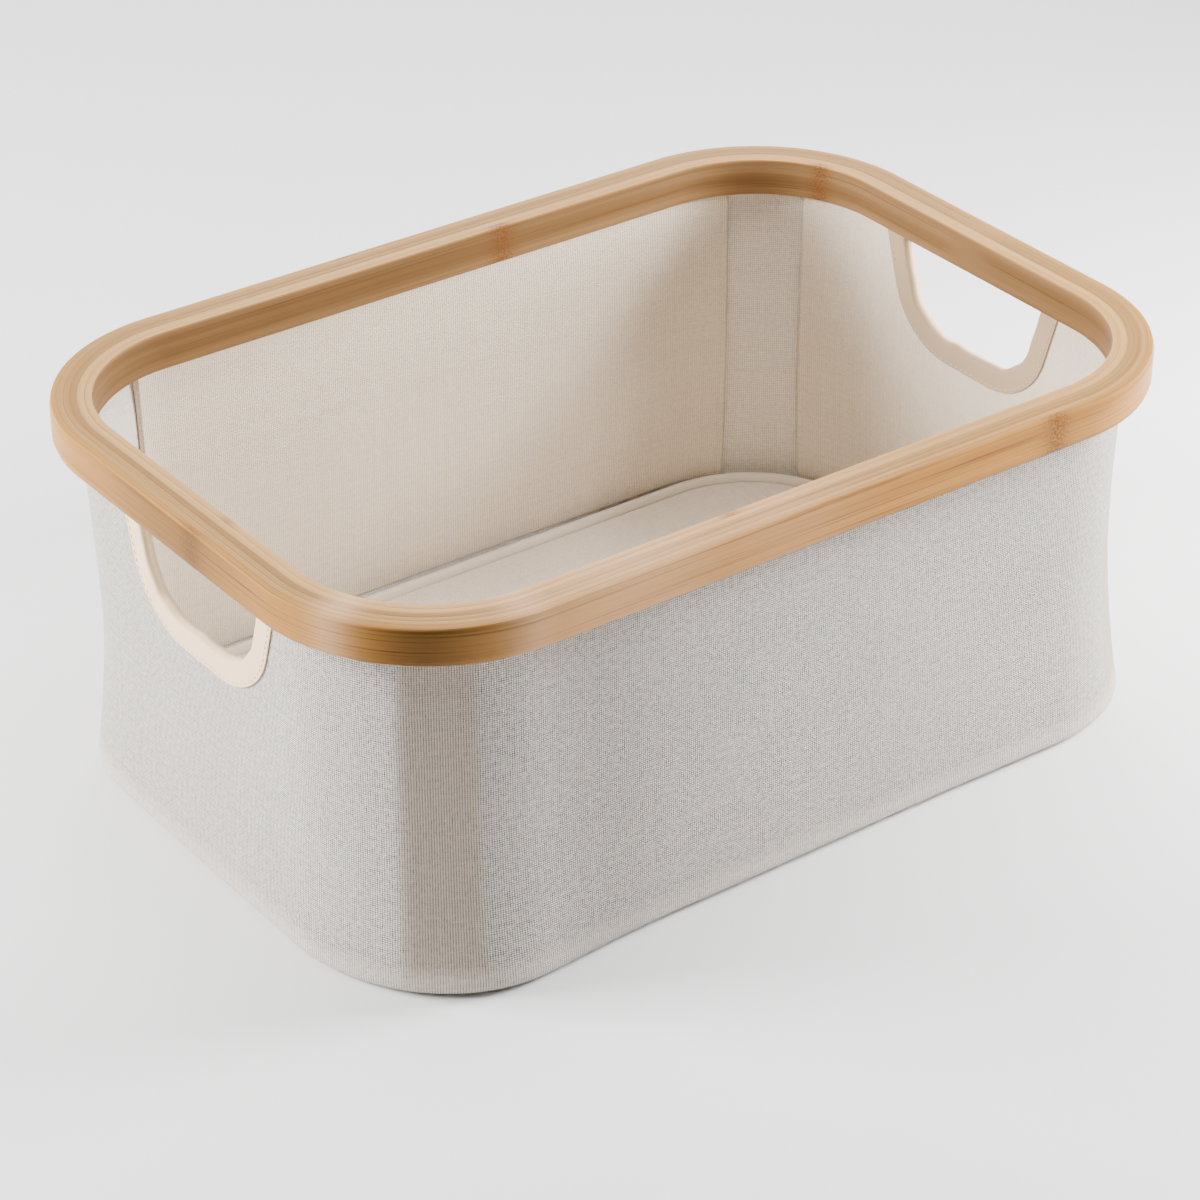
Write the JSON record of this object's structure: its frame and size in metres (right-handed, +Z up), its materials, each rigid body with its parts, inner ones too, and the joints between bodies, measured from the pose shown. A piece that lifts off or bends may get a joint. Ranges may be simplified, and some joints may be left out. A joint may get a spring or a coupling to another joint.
{
  "type": "fabric storage bin",
  "caption": "Rectangular storage bin with rounded corners, a board-stiffened canvas body, a laminated bamboo rim, two taped cut-out handles and a lift-out base insert.",
  "frame": {"origin": "on the floor under the middle of the bin", "axes": "+Z up, X along the long sides, Y along the short sides; the handles are in the two ends that face -X and +X"},
  "size_m": [0.4, 0.276, 0.1605],
  "materials": {
    "bamboo_light": "clear-lacquered bamboo lamella, satin, fine straight grain with knuckle marks",
    "bamboo_outer": "clear-lacquered bamboo lamella seen on edge, satin, browner with fine lines",
    "canvas": "plain-woven polyester canvas, light greige, matt",
    "lining_canvas": "plain-woven polyester canvas, cream, matt",
    "binding_tape": "cream woven binding tape, folded and stitched, matt",
    "grey_board": "plain grey pressed paper board, matt",
    "staple_wire": "bright steel wire"
  },
  "bodies": {
    "bin": {"outer_hoop_ply_1": "bamboo_light", "outer_hoop_ply_2": "bamboo_outer", "outer_hoop_ply_3": "bamboo_outer", "outer_hoop_ply_4": "bamboo_outer", "inner_hoop_ply_1": "bamboo_light", "inner_hoop_ply_2": "bamboo_light", "canvas_sleeve": "canvas", "base_panel": "canvas", "seam_tape": "binding_tape", "board_front": "grey_board", "lining_front": "lining_canvas", "board_back": "grey_board", "lining_back": "lining_canvas", "board_left": "grey_board", "lining_left": "lining_canvas", "board_right": "grey_board", "lining_right": "lining_canvas", "handle_tape_left": "binding_tape", "handle_tape_right": "binding_tape", "staple_01": "staple_wire", "staple_02": "staple_wire", "staple_03": "staple_wire", "staple_04": "staple_wire", "staple_05": "staple_wire", "staple_06": "staple_wire", "staple_07": "staple_wire", "staple_08": "staple_wire", "staple_09": "staple_wire", "staple_10": "staple_wire", "staple_11": "staple_wire", "staple_12": "staple_wire"},
    "base_insert": {"insert_board": "grey_board", "insert_cover": "lining_canvas"}
  },
  "joints": [
    {"name": "insert_lift", "type": "slide", "parent": "bin", "child": "base_insert", "axis": [0, 0, 1], "range_m": [0, 0.18]}
  ]
}
